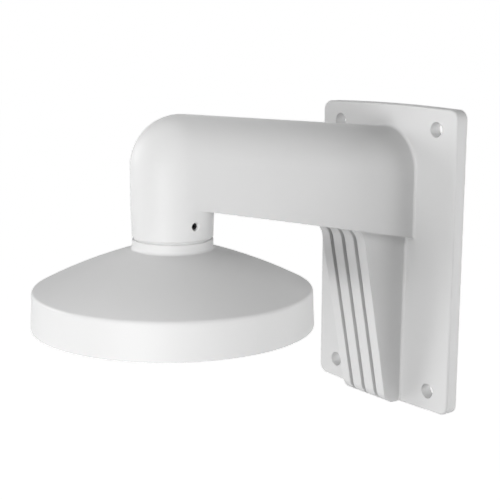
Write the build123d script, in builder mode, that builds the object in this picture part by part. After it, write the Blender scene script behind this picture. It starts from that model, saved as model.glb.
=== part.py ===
from build123d import *
import os
from math import atan, cos, radians, sin, tan

# Wall bracket for a dome camera, in millimetres.
# The wall is the plane Y = 0, the arm reaches out along -Y and Z points up. The origin is the middle of
# the wall bolts, on the wall. Three pieces: the cast arm with its wall plate, the round adapter cap that
# screws up into the arm's neck, and the set screw that locks the cap.

# Wall plate
plate_width = 115.6
plate_height = 182.5
plate_thickness = 7.8
plate_edge_rise = 1.25
plate_corner_radius = 6.0
plate_front_rounding = 1.3
plate_front_wall = 3.5
plate_rim_wall = 4.0
bolt_side_margin = 16.5
bolt_end_margin = 12.85
bolt_hole_diameter = 8.8
bolt_boss_diameter = 19.0
back_rib_thickness = 2.5
back_rib_heights = (52.0, 13.0, -38.0)
bolt_hole_bevel = 0.3

# Arm, elbow and neck
arm_reach = 161.3
neck_radius = 22.15
neck_mouth_radius = 21.6
neck_mouth_z = 26.6
neck_mouth_bevel = 0.8
elbow_centre_z = 63.5
elbow_bend_radius = 5.5
arm_fall_angle = 5.2
arm_root_half_width = 26.1
arm_underside_root_z = 12.9
arm_underside_angle = 11.25
root_fillet = 1.7
casting_wall = 4.0

# Gusset under the arm, with four flat ribs on its front
gusset_top_half_width = 19.6
gusset_foot_half_width = 18.8
gusset_front_depth = 38.1
gusset_front_angle = 11.3
gusset_foot_setback = 0.85
gusset_foot_radius = 9.0
gusset_head_radius = 12.0
gusset_cavity_rounding = 3.0
groove_count = 3
groove_pitch = 10.65
groove_width = 2.7
groove_depth = 4.0
rib_edge_rounding = 0.5

# Adapter cap
nipple_radius = 16.6
nipple_length = 18.0
nipple_bore_radius = 13.0
collar_radius = 21.6
collar_foot_z = 20.75
collar_foot_fillet = 1.5
seam_height = 0.65
seam_depth = 0.9
collar_bevel = 0.35
cone_edge_radius = 74.9
cone_edge_z = -0.85
cone_crown = 1.42
rim_foot_radius = 75.7
rim_foot_z = -20.2
rim_shoulder_radius = 2.3
cap_wall = 3.0
post_circle_radius = 52.0
post_count = 4
post_diameter = 9.0
post_end_z = -14.0
post_hole_diameter = 3.3
post_hole_depth = 12.0
cap_rib_thickness = 2.5
cap_rib_end_z = -6.0
nipple_bevel = 1.0

# Set screw, on the neck's right side
screw_diameter = 4.0
screw_length = 3.0
screw_z = 34.9
screw_hole_bevel = 0.4
screw_point_bevel = 0.6
screw_socket_flats = 2.0
screw_socket_depth = 1.8

# Clearances
nipple_thread_clearance = 0.1
nipple_end_clearance = 2.0
screw_thread_clearance = 0.05
screw_point_clearance = 0.05

# How near to a plane or a radius an edge lies to count as on it
touching = 0.01

# Worked out from the sizes above
bolt_spacing_x = plate_width - 2 * bolt_side_margin
bolt_spacing_z = plate_height - 2 * bolt_end_margin
gusset_foot_z = gusset_foot_setback - plate_height / 2
bend_axis_y = -arm_reach + elbow_bend_radius
elbow_end_y = bend_axis_y + elbow_bend_radius * sin(radians(arm_fall_angle))
elbow_end_z = elbow_centre_z + elbow_bend_radius * cos(radians(arm_fall_angle))
elbow_outer_radius = elbow_bend_radius + neck_radius
top_line_y = bend_axis_y + elbow_outer_radius * sin(radians(arm_fall_angle))
top_line_z = elbow_centre_z + elbow_outer_radius * cos(radians(arm_fall_angle))
root_top_z = top_line_z - (-plate_thickness - top_line_y) * tan(radians(arm_fall_angle))
root_centre_z = root_top_z - arm_root_half_width
neck_bore_radius = nipple_radius + nipple_thread_clearance
nipple_top_z = neck_mouth_z + nipple_length
neck_bore_top_z = nipple_top_z + nipple_end_clearance
neck_section = Plane.XZ.offset(arm_reach)
neck_axis = Axis((0, -arm_reach, 0), (0, 0, 1))
screw_tip_x = nipple_radius + screw_point_clearance
seam_radius = collar_radius - seam_depth
collar_top_z = neck_mouth_z - seam_height
cavity_foot_z = gusset_foot_z + casting_wall
cavity_inset = groove_depth + casting_wall
gusset_block_half_width = gusset_top_half_width + 2 * rib_edge_rounding
groove_centres = [groove_pitch * (i - (groove_count - 1) / 2) for i in range(groove_count)]
rib_left_sides = [-gusset_block_half_width] + [centre + groove_width / 2 for centre in groove_centres]
rib_right_sides = [centre - groove_width / 2 for centre in groove_centres] + [gusset_block_half_width]
bolt_places = [
    (side * bolt_spacing_x / 2, level * bolt_spacing_z / 2) for side in (-1, 1) for level in (-1, 1)
]


def share_of_arm(y):
    """How far along the arm y lies: 0 at the end of the elbow, 1 at the front of the plate."""
    return (y - elbow_end_y) / (-plate_thickness - elbow_end_y)


def arm_half_width(y):
    return neck_radius + (arm_root_half_width - neck_radius) * share_of_arm(y)


def arm_centre_z(y):
    """Height where the arm's straight sides turn into its round top."""
    return elbow_end_z + (root_centre_z - elbow_end_z) * share_of_arm(y)


def underside_z(y):
    return arm_underside_root_z + (-plate_thickness - y) * tan(radians(arm_underside_angle))


def gusset_half_width(z):
    drop = (arm_underside_root_z - z) / (arm_underside_root_z - gusset_foot_z)
    return gusset_top_half_width + (gusset_foot_half_width - gusset_top_half_width) * drop


def half_round(plane, radius):
    """The upper half of a disc on a plane."""
    with BuildSketch(plane) as section:
        with BuildLine():
            CenterArc((0, 0), radius, 0, 180)
            Line((-radius, 0), (radius, 0))
        make_face()
    return section.sketch


def beam(inset, end_y):
    """The arm below its round top, straight-sided, from the neck's axis to end_y."""
    floor_lift = inset / cos(radians(arm_underside_angle))
    start = (-arm_reach, elbow_centre_z)
    turn = (elbow_end_y, elbow_end_z)
    half_turn = radians(90 + arm_fall_angle) / 2
    middle = (
        bend_axis_y - elbow_bend_radius * cos(half_turn),
        elbow_centre_z + elbow_bend_radius * sin(half_turn),
    )
    with BuildPart() as block:
        with BuildSketch(Plane.YZ):
            with BuildLine():
                ThreePointArc(start, middle, turn)
                Polyline(
                    turn,
                    (end_y, arm_centre_z(end_y)),
                    (end_y, underside_z(end_y) + floor_lift),
                    (-arm_reach, underside_z(-arm_reach) + floor_lift),
                    start,
                )
            make_face()
        extrude(amount=2 * arm_root_half_width, both=True)
        with BuildSketch(Plane.XY):
            with BuildLine():
                Polyline(
                    (neck_radius - inset, -arm_reach),
                    (neck_radius - inset, elbow_end_y),
                    (arm_half_width(end_y) - inset, end_y),
                    (inset - arm_half_width(end_y), end_y),
                    (inset - neck_radius, elbow_end_y),
                    (inset - neck_radius, -arm_reach),
                    close=True,
                )
            make_face()
        extrude(amount=2 * elbow_centre_z, mode=Mode.INTERSECT)
    return block.part


def arm_form(inset, end_y):
    """Elbow and arm as one solid, drawn in by an inset, from the elbow's foot to end_y."""
    radius = neck_radius - inset
    elbow_end = Plane(
        origin=(0, elbow_end_y, elbow_end_z),
        x_dir=(1, 0, 0),
        z_dir=(0, -cos(radians(arm_fall_angle)), sin(radians(arm_fall_angle))),
    )
    arm_end = Plane(origin=(0, end_y, arm_centre_z(end_y)), x_dir=(1, 0, 0), z_dir=(0, -1, 0))
    with BuildPart() as form:
        with BuildSketch(Plane((0, -arm_reach, elbow_centre_z))):
            Circle(radius)
            with Locations((0, elbow_bend_radius)):
                Rectangle(3 * radius, 3 * radius, align=(Align.CENTER, Align.MIN), mode=Mode.SUBTRACT)
        revolve(
            axis=Axis((0, bend_axis_y, elbow_centre_z), (-1, 0, 0)),
            revolution_arc=90 + arm_fall_angle,
        )
        loft(
            sections=[half_round(elbow_end, radius), half_round(arm_end, arm_half_width(end_y) - inset)],
            ruled=True,
        )
        add(beam(inset, end_y))
    return form.part


def gusset_front_y(z, inset):
    """Where the gusset's front lies at height z when drawn in by an inset."""
    front_at_zero = inset / cos(radians(gusset_front_angle)) - gusset_front_depth
    return front_at_zero - z * tan(radians(gusset_front_angle))


def gusset_head(inset):
    """Corner between the gusset's front, drawn in by an inset, and the arm's underside."""
    front_slope = tan(radians(gusset_front_angle))
    under_slope = tan(radians(arm_underside_angle))
    z = (underside_z(0) - under_slope * gusset_front_y(0, inset)) / (1 - under_slope * front_slope)
    return (gusset_front_y(z, inset), z)


def gusset_profile(inset):
    """Side outline of the gusset, its front drawn in by an inset measured square to it."""
    outer_y = -gusset_front_depth - 2 * gusset_head_radius
    inner_y = -plate_thickness / 2
    with BuildSketch(Plane.YZ) as outline:
        with BuildLine():
            FilletPolyline(
                (inner_y, gusset_foot_z),
                (gusset_front_y(gusset_foot_z, inset), gusset_foot_z),
                gusset_head(inset),
                (outer_y, underside_z(outer_y)),
                radius=(gusset_foot_radius - inset, gusset_head_radius + inset),
            )
            Polyline(
                (outer_y, underside_z(outer_y)),
                (outer_y, underside_z(outer_y) + casting_wall / 2),
                (inner_y, underside_z(inner_y) + casting_wall / 2),
                (inner_y, gusset_foot_z),
            )
        make_face()
    return outline.sketch


def gusset_rib(left, right):
    """A full-depth slice of the gusset with both its front edges rounded."""
    with BuildPart() as rib:
        extrude(to_extrude=gusset_profile(0), amount=(right - left) / 2, both=True)
        front_edges = rib.edges().filter_by(
            lambda edge: edge.bounding_box().size.X < touching
            and edge.center().Y < -plate_thickness / 2 - touching
            and edge.center().Z < underside_z(edge.center().Y) + touching
        )
        fillet(front_edges, rib_edge_rounding)
    return rib.part.moved(Location(((left + right) / 2, 0, 0)))


def plate_outline(inset):
    """Outline of the wall plate, drawn in by an inset."""
    half_width = plate_width / 2 - inset
    crown = plate_height / 2 - inset
    corner = crown - plate_edge_rise
    with BuildSketch(Plane.XZ) as outline:
        with BuildLine():
            ThreePointArc((-half_width, corner), (0, crown), (half_width, corner))
            Line((half_width, corner), (half_width, -corner))
            ThreePointArc((half_width, -corner), (0, -crown), (-half_width, -corner))
            Line((-half_width, -corner), (-half_width, corner))
        make_face()
        fillet(outline.vertices(), plate_corner_radius - inset)
    return outline.sketch


def gusset_front_outline():
    """The gusset seen from the front, from inside the arm down to its foot."""
    top_z = arm_root_half_width
    with BuildSketch(Plane.XZ) as outline:
        with BuildLine():
            Polyline(
                (gusset_half_width(top_z), top_z),
                (gusset_half_width(gusset_foot_z), gusset_foot_z),
                (-gusset_half_width(gusset_foot_z), gusset_foot_z),
                (-gusset_half_width(top_z), top_z),
                close=True,
            )
        make_face()
    return outline.sketch


def cap_ceiling(inset):
    """Half section of the space under the cap, an inset below its outer surface."""
    slope = (collar_foot_z - cone_edge_z) / (cone_edge_radius - collar_radius)
    drop = inset / cos(atan(slope))
    ceiling_z = collar_foot_z - drop
    edge = (cone_edge_radius - inset, cone_edge_z + inset * slope - drop)
    with BuildSketch(neck_section) as region:
        with BuildLine():
            Polyline((0, ceiling_z), (0, rim_foot_z), (rim_foot_radius - inset, rim_foot_z), edge)
            SagittaArc(edge, (collar_radius, ceiling_z), -cone_crown)
            Line((collar_radius, ceiling_z), (0, ceiling_z))
        make_face()
    return region.sketch


with BuildPart() as gusset:
    extrude(to_extrude=gusset_profile(groove_depth), amount=gusset_block_half_width, both=True)
    for left, right in zip(rib_left_sides, rib_right_sides):
        add(gusset_rib(left, right))
    extrude(to_extrude=gusset_front_outline(), amount=arm_reach, mode=Mode.INTERSECT)
    outer_edges = gusset.edges().filter_by(
        lambda edge: abs(edge.center().X) > gusset_foot_half_width - touching
        and edge.center().Y < -plate_thickness / 2 - touching
        and edge.center().Z < underside_z(edge.center().Y) + touching
    )
    fillet(outer_edges, rib_edge_rounding)

with BuildPart() as arm_casting:
    # Wall plate, arm, neck and gusset as one outside shape
    extrude(to_extrude=plate_outline(0), amount=plate_thickness)
    front_edges = arm_casting.edges().filter_by(
        lambda edge: abs(edge.center().Y + plate_thickness) < touching
    )
    fillet(front_edges, plate_front_rounding)
    add(arm_form(0, -plate_thickness / 2))
    with BuildSketch(neck_section):
        with BuildLine():
            Polyline(
                (0, neck_mouth_z),
                (neck_mouth_radius - neck_mouth_bevel, neck_mouth_z),
                (neck_mouth_radius, neck_mouth_z + neck_mouth_bevel),
                (neck_radius, underside_z(-arm_reach)),
                (neck_radius, elbow_centre_z),
                (0, elbow_centre_z),
                close=True,
            )
        make_face()
    revolve(axis=neck_axis)
    add(gusset.part)
    roots = arm_casting.edges().filter_by(
        lambda edge: abs(edge.bounding_box().min.Y + plate_thickness) < touching
        and abs(edge.bounding_box().max.Y + plate_thickness) < touching
        and gusset_foot_z + plate_front_rounding < edge.center().Z < root_top_z
        and abs(edge.center().X) < arm_root_half_width + touching
    )
    fillet(roots, root_fillet)

    # Cable way through the arm and the neck
    add(arm_form(casting_wall, plate_thickness), mode=Mode.SUBTRACT)
    with BuildSketch(Plane((0, -arm_reach, neck_mouth_z))):
        Circle(neck_bore_radius)
    extrude(amount=nipple_length + nipple_end_clearance, mode=Mode.SUBTRACT)
    with BuildSketch(Plane((0, -arm_reach, neck_bore_top_z))):
        Circle(neck_radius - casting_wall)
    extrude(amount=elbow_centre_z - neck_bore_top_z, mode=Mode.SUBTRACT)

    # Hollow gusset, open at the back
    with BuildSketch(Plane.YZ):
        with BuildLine():
            FilletPolyline(
                (plate_thickness, cavity_foot_z),
                (gusset_front_y(cavity_foot_z, cavity_inset), cavity_foot_z),
                gusset_head(cavity_inset),
                (plate_thickness, underside_z(plate_thickness)),
                radius=gusset_cavity_rounding,
            )
            Line((plate_thickness, underside_z(plate_thickness)), (plate_thickness, cavity_foot_z))
        make_face()
    extrude(amount=gusset_foot_half_width - casting_wall, both=True, mode=Mode.SUBTRACT)

    # Hollow back of the wall plate, with a boss round each bolt and flat stiffening ribs
    with BuildSketch(Plane.XZ):
        add(plate_outline(plate_rim_wall))
        with Locations((0, root_centre_z)):
            Circle(arm_root_half_width, mode=Mode.SUBTRACT)
            Rectangle(
                2 * arm_root_half_width,
                root_centre_z - arm_underside_root_z,
                align=(Align.CENTER, Align.MAX),
                mode=Mode.SUBTRACT,
            )
        add(gusset_front_outline(), mode=Mode.SUBTRACT)
        with Locations(*[(0, height) for height in back_rib_heights]):
            Rectangle(plate_width, back_rib_thickness, mode=Mode.SUBTRACT)
        with Locations(*bolt_places):
            Circle(bolt_boss_diameter / 2, mode=Mode.SUBTRACT)
    extrude(amount=plate_thickness - plate_front_wall, mode=Mode.SUBTRACT)

    # Bolt holes, and the threaded hole for the set screw
    with BuildSketch(Plane.XZ):
        with Locations(*bolt_places):
            Circle(bolt_hole_diameter / 2)
    extrude(amount=plate_thickness, mode=Mode.SUBTRACT)
    hole_mouths = arm_casting.edges().filter_by(GeomType.CIRCLE).filter_by(
        lambda edge: abs(edge.radius - bolt_hole_diameter / 2) < touching
        and abs(edge.center().Y + plate_thickness) < touching
    )
    chamfer(hole_mouths, bolt_hole_bevel)
    with BuildSketch(Plane.YZ):
        with Locations((-arm_reach, screw_z)):
            Circle(screw_diameter / 2)
    extrude(amount=2 * neck_radius, mode=Mode.SUBTRACT)
    screw_hole_mouth = arm_casting.edges().filter_by(
        lambda edge: edge.center().X > neck_bore_radius + touching
        and abs(edge.center().Y + arm_reach) < screw_diameter
        and abs(edge.center().Z - screw_z) < screw_diameter
        and abs(edge.bounding_box().size.Z - screw_diameter) < touching
    )
    chamfer(screw_hole_mouth, screw_hole_bevel)
arm_casting.part.label = "arm_casting"

with BuildPart() as adapter_cap:
    # Posts and radial ribs under the cap, trimmed to the middle of its wall
    with BuildSketch(Plane((0, -arm_reach, post_end_z))):
        with PolarLocations(post_circle_radius, post_count):
            Circle(post_diameter / 2)
    extrude(amount=collar_foot_z - post_end_z)
    with BuildSketch(Plane((0, -arm_reach, cap_rib_end_z))):
        with PolarLocations(nipple_radius, post_count):
            Rectangle(rim_foot_radius - nipple_radius, cap_rib_thickness, align=(Align.MIN, Align.CENTER))
    extrude(amount=collar_foot_z - cap_rib_end_z)
    with BuildSketch(neck_section):
        add(cap_ceiling(cap_wall / 2))
    revolve(axis=neck_axis, mode=Mode.INTERSECT)

    # Nipple, collar, cone and rim
    with BuildSketch(neck_section):
        with BuildLine():
            Polyline(
                (nipple_bore_radius, nipple_top_z),
                (nipple_radius - nipple_bevel, nipple_top_z),
                (nipple_radius, nipple_top_z - nipple_bevel),
                (nipple_radius, neck_mouth_z),
                (seam_radius, neck_mouth_z),
                (seam_radius, collar_top_z),
                (collar_radius - collar_bevel, collar_top_z),
                (collar_radius, collar_top_z - collar_bevel),
                (collar_radius, collar_foot_z),
            )
            SagittaArc((collar_radius, collar_foot_z), (cone_edge_radius, cone_edge_z), cone_crown)
            Polyline(
                (cone_edge_radius, cone_edge_z),
                (rim_foot_radius, rim_foot_z),
                (nipple_bore_radius, rim_foot_z),
                (nipple_bore_radius, nipple_top_z),
            )
        make_face()
        add(cap_ceiling(cap_wall), mode=Mode.SUBTRACT)
    revolve(axis=neck_axis)
    collar_foot = adapter_cap.edges().filter_by(GeomType.CIRCLE).filter_by(
        lambda edge: abs(edge.radius - collar_radius) < touching
        and abs(edge.center().Z - collar_foot_z) < touching
    )
    fillet(collar_foot, collar_foot_fillet)
    shoulder = adapter_cap.edges().filter_by(GeomType.CIRCLE).filter_by(
        lambda edge: abs(edge.radius - cone_edge_radius) < touching
    )
    fillet(shoulder, rim_shoulder_radius)

    # Threaded holes in the posts
    with BuildSketch(Plane((0, -arm_reach, post_end_z))):
        with PolarLocations(post_circle_radius, post_count):
            Circle(post_hole_diameter / 2)
    extrude(amount=post_hole_depth, mode=Mode.SUBTRACT)
adapter_cap.part.label = "adapter_cap"

with BuildPart() as set_screw:
    with BuildSketch(Plane.YZ.offset(screw_tip_x)):
        with Locations((-arm_reach, screw_z)):
            Circle(screw_diameter / 2 - screw_thread_clearance)
    extrude(amount=screw_length)
    chamfer(set_screw.edges().group_by(Axis.X)[0], screw_point_bevel)
    with BuildSketch(Plane.YZ.offset(screw_tip_x + screw_length)):
        with Locations((-arm_reach, screw_z)):
            RegularPolygon(screw_socket_flats / 2, 6, major_radius=False)
    extrude(amount=-screw_socket_depth, mode=Mode.SUBTRACT)
set_screw.part.label = "set_screw"

os.makedirs("parts", exist_ok=True)
export_step(arm_casting.part, "parts/arm_casting.step")
export_step(adapter_cap.part, "parts/adapter_cap.step")
export_step(set_screw.part, "parts/set_screw.step")
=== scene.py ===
from math import cos, radians, sin

import bpy
from mathutils import Matrix, Vector


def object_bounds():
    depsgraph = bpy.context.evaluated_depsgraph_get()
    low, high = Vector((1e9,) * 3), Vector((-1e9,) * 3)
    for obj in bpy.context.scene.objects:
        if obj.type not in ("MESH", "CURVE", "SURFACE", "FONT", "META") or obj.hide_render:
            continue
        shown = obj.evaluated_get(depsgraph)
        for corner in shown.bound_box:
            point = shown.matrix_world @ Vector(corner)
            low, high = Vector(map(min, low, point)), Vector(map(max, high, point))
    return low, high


# Where the camera stood for the photograph, in degrees and metres, and its lens in millimetres
CAMERA_AZIMUTH = 53.177
CAMERA_ELEVATION = 11.248
CAMERA_ROLL = 0.205
CAMERA_PLACE = (0.491557, -0.478022, 0.135441)
SENSOR_WIDTH = 36.0
FOCAL_LENGTH = 80.448

# The wall bracket hangs well above the floor
FLOOR_DROP = 2.0
FLOOR_SIZE = 60.0
FLOOR_COLOUR = (0.8, 0.8, 0.8, 1.0)

# Lamps: name, azimuth and elevation in degrees, distance and size in metres, power in watts
LAMPS = (
    ("key_lamp", 30.0, 0.0, 0.5, 0.25, 1.16),
    ("low_key_lamp", 30.0, -10.0, 0.75, 0.375, 1.82),
    ("high_lamp", 60.0, 40.0, 0.75, 0.375, 1.36),
    ("top_lamp", 0.0, 75.0, 0.3, 0.15, 0.177),
    ("low_front_lamp", 0.0, -10.0, 1.25, 0.625, 2.16),
    ("left_lamp", -60.0, 15.0, 2.5, 1.25, 30.0),
    ("low_left_lamp", -60.0, -35.0, 1.25, 0.625, 4.6),
    ("side_lamp", 120.0, 15.0, 2.5, 1.25, 12.0),
    ("low_side_lamp", 120.0, -35.0, 1.25, 0.625, 4.0),
    ("back_lamp", 180.0, 15.0, 2.5, 1.25, 22.2),
    ("low_back_lamp", 150.0, -10.0, 1.25, 0.625, 5.07),
)

# The world is white where it is seen and gives no light of its own
WORLD_COLOUR = (1.0, 1.0, 1.0, 1.0)
WORLD_LIGHT = 0.0

# Powder coats: a grey and its slightly darker patches. The arm's coat is textured and the cap's is
# smoother: the size and depth of their grain are in metres.
COAT_COLOUR = (0.6, 0.6, 0.6, 1.0)
COAT_PATCH_COLOUR = (0.591, 0.591, 0.591, 1.0)
COAT_PATCH_SIZE = 0.03
COAT_ROUGHNESS = (0.46, 0.54)
COAT_IOR = 1.5
COAT_SHINE = 0.25
ARM_GRAIN_SIZE = 0.0005
ARM_GRAIN_DEPTH = 0.00003
CAP_GRAIN_SIZE = 0.0004
CAP_GRAIN_DEPTH = 0.00001

# Blackened steel: its darkest and lightest tone, and the size and depth of its turning marks in metres
STEEL_DARK = (0.02, 0.02, 0.022, 1.0)
STEEL_LIGHT = (0.06, 0.06, 0.064, 1.0)
STEEL_METAL = 0.9
STEEL_ROUGHNESS = (0.3, 0.5)
MARK_SIZE = 0.0004
MARK_DEPTH = 0.00002


def compass(azimuth, elevation):
    """Direction from the bracket to a point at this azimuth and elevation, in degrees."""
    a, e = radians(azimuth), radians(elevation)
    return Vector((sin(a) * cos(e), -cos(a) * cos(e), sin(e)))


def make_camera():
    back = compass(CAMERA_AZIMUTH, CAMERA_ELEVATION)
    level = Vector((cos(radians(CAMERA_AZIMUTH)), sin(radians(CAMERA_AZIMUTH)), 0.0))
    upright = back.cross(level)
    roll = radians(CAMERA_ROLL)
    right = cos(roll) * level + sin(roll) * upright
    up = cos(roll) * upright - sin(roll) * level
    camera = bpy.data.objects.new("camera", bpy.data.cameras.new("camera"))
    camera.data.sensor_width = SENSOR_WIDTH
    camera.data.lens = FOCAL_LENGTH
    turn = Matrix((right, up, back)).transposed().to_4x4()
    camera.matrix_world = Matrix.Translation(CAMERA_PLACE) @ turn
    bpy.context.scene.collection.objects.link(camera)
    bpy.context.scene.camera = camera


def make_lamps(middle):
    for name, azimuth, elevation, distance, size, power in LAMPS:
        lamp = bpy.data.lights.new(name, "AREA")
        lamp.shape = "DISK"
        lamp.size = size
        lamp.energy = power
        lamp_object = bpy.data.objects.new(name, lamp)
        toward = compass(azimuth, elevation)
        lamp_object.location = middle + distance * toward
        lamp_object.rotation_euler = toward.to_track_quat("Z", "Y").to_euler()
        bpy.context.scene.collection.objects.link(lamp_object)


def seen_rays(nodes, links):
    """1 for what the camera, a mirror or a glass sees, 0 for light that reaches a surface."""
    path = nodes.new("ShaderNodeLightPath")
    first = nodes.new("ShaderNodeMath")
    first.operation = "MAXIMUM"
    second = nodes.new("ShaderNodeMath")
    second.operation = "MAXIMUM"
    links.new(path.outputs["Is Camera Ray"], first.inputs[0])
    links.new(path.outputs["Is Transmission Ray"], first.inputs[1])
    links.new(first.outputs[0], second.inputs[0])
    links.new(path.outputs["Is Glossy Ray"], second.inputs[1])
    return second.outputs[0]


def make_world():
    world = bpy.data.worlds.new("studio")
    world.use_nodes = True
    nodes, links = world.node_tree.nodes, world.node_tree.links
    nodes.clear()
    output = nodes.new("ShaderNodeOutputWorld")
    light = nodes.new("ShaderNodeBackground")
    light.inputs["Color"].default_value = WORLD_COLOUR
    light.inputs["Strength"].default_value = WORLD_LIGHT
    white = nodes.new("ShaderNodeBackground")
    white.inputs["Color"].default_value = WORLD_COLOUR
    mix = nodes.new("ShaderNodeMixShader")
    links.new(seen_rays(nodes, links), mix.inputs["Fac"])
    links.new(light.outputs[0], mix.inputs[1])
    links.new(white.outputs[0], mix.inputs[2])
    links.new(mix.outputs[0], output.inputs["Surface"])
    bpy.context.scene.world = world


def make_floor(middle, foot):
    """A pale floor below the bracket. It keeps the bracket's shadow and is white elsewhere."""
    material = bpy.data.materials.new("studio_floor")
    material.use_nodes = True
    nodes, links = material.node_tree.nodes, material.node_tree.links
    nodes.clear()
    output = nodes.new("ShaderNodeOutputMaterial")
    pale = nodes.new("ShaderNodeBsdfDiffuse")
    pale.inputs["Color"].default_value = FLOOR_COLOUR
    lift = nodes.new("ShaderNodeEmission")
    links.new(seen_rays(nodes, links), lift.inputs["Strength"])
    both = nodes.new("ShaderNodeAddShader")
    links.new(pale.outputs[0], both.inputs[0])
    links.new(lift.outputs[0], both.inputs[1])
    links.new(both.outputs[0], output.inputs["Surface"])
    bpy.ops.mesh.primitive_plane_add(size=FLOOR_SIZE, location=(middle.x, middle.y, foot - FLOOR_DROP))
    floor = bpy.context.active_object
    floor.name = "floor"
    floor.data.materials.append(material)


class Finish:
    """A material for one piece, with the patterns in its surface fixed to the piece."""

    def __init__(self, name):
        self.material = bpy.data.materials.new(name)
        self.material.use_nodes = True
        self.nodes = self.material.node_tree.nodes
        self.links = self.material.node_tree.links
        self.shader = self.nodes["Principled BSDF"]
        self.place = self.nodes.new("ShaderNodeTexCoord")

    def noise(self, size, detail=2.0):
        node = self.nodes.new("ShaderNodeTexNoise")
        node.inputs["Scale"].default_value = 1.0 / size
        node.inputs["Detail"].default_value = detail
        self.links.new(self.place.outputs["Object"], node.inputs["Vector"])
        return node.outputs["Fac"]

    def colour(self, pattern, first, second):
        node = self.nodes.new("ShaderNodeMix")
        node.data_type = "RGBA"
        node.inputs["A"].default_value = first
        node.inputs["B"].default_value = second
        self.links.new(pattern, node.inputs["Factor"])
        self.links.new(node.outputs["Result"], self.shader.inputs["Base Color"])

    def roughness(self, pattern, limits):
        node = self.nodes.new("ShaderNodeMapRange")
        node.inputs["To Min"].default_value, node.inputs["To Max"].default_value = limits
        self.links.new(pattern, node.inputs["Value"])
        self.links.new(node.outputs["Result"], self.shader.inputs["Roughness"])

    def relief(self, layers):
        """Bumps one over the other, from (pattern, depth) pairs."""
        under = None
        for pattern, depth in layers:
            bump = self.nodes.new("ShaderNodeBump")
            bump.inputs["Distance"].default_value = depth
            self.links.new(pattern, bump.inputs["Height"])
            if under:
                self.links.new(under, bump.inputs["Normal"])
            under = bump.outputs["Normal"]
        self.links.new(under, self.shader.inputs["Normal"])


def powder_coat(name, grain_size, grain_depth):
    """Baked-on powder paint: a fine orange peel, a still finer grain, and a slightly uneven tone."""
    coat = Finish(name)
    coat.shader.inputs["IOR"].default_value = COAT_IOR
    coat.shader.inputs["Specular IOR Level"].default_value = COAT_SHINE
    coat.colour(coat.noise(COAT_PATCH_SIZE, 3.0), COAT_PATCH_COLOUR, COAT_COLOUR)
    coat.roughness(coat.noise(6 * grain_size), COAT_ROUGHNESS)
    peel = coat.noise(3 * grain_size, 1.0)
    grain = coat.noise(grain_size)
    coat.relief([(peel, grain_depth), (grain, grain_depth / 2)])
    return coat.material


def black_steel(name):
    """Blackened screw steel with fine turning marks."""
    steel = Finish(name)
    steel.shader.inputs["Metallic"].default_value = STEEL_METAL
    marks = steel.noise(MARK_SIZE)
    steel.colour(marks, STEEL_DARK, STEEL_LIGHT)
    steel.roughness(marks, STEEL_ROUGHNESS)
    steel.relief([(marks, MARK_DEPTH)])
    return steel.material


def dress(node, material):
    """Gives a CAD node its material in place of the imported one."""
    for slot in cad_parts[node].material_slots:
        slot.material = material


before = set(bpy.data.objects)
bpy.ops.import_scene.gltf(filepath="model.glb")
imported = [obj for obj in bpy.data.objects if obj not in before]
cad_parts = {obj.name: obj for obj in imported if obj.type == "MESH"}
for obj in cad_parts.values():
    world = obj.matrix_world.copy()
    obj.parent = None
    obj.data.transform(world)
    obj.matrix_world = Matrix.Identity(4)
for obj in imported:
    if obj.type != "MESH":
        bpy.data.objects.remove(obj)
cad_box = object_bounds()
centre = (Vector(cad_box[0]) + Vector(cad_box[1])) / 2

dress("arm_casting", powder_coat("arm_powder_coat", ARM_GRAIN_SIZE, ARM_GRAIN_DEPTH))
dress("adapter_cap", powder_coat("cap_powder_coat", CAP_GRAIN_SIZE, CAP_GRAIN_DEPTH))
dress("set_screw", black_steel("screw_black_steel"))

make_camera()
make_lamps(centre)
make_world()
make_floor(centre, cad_box[0][2])
bpy.context.scene.view_settings.view_transform = "Standard"
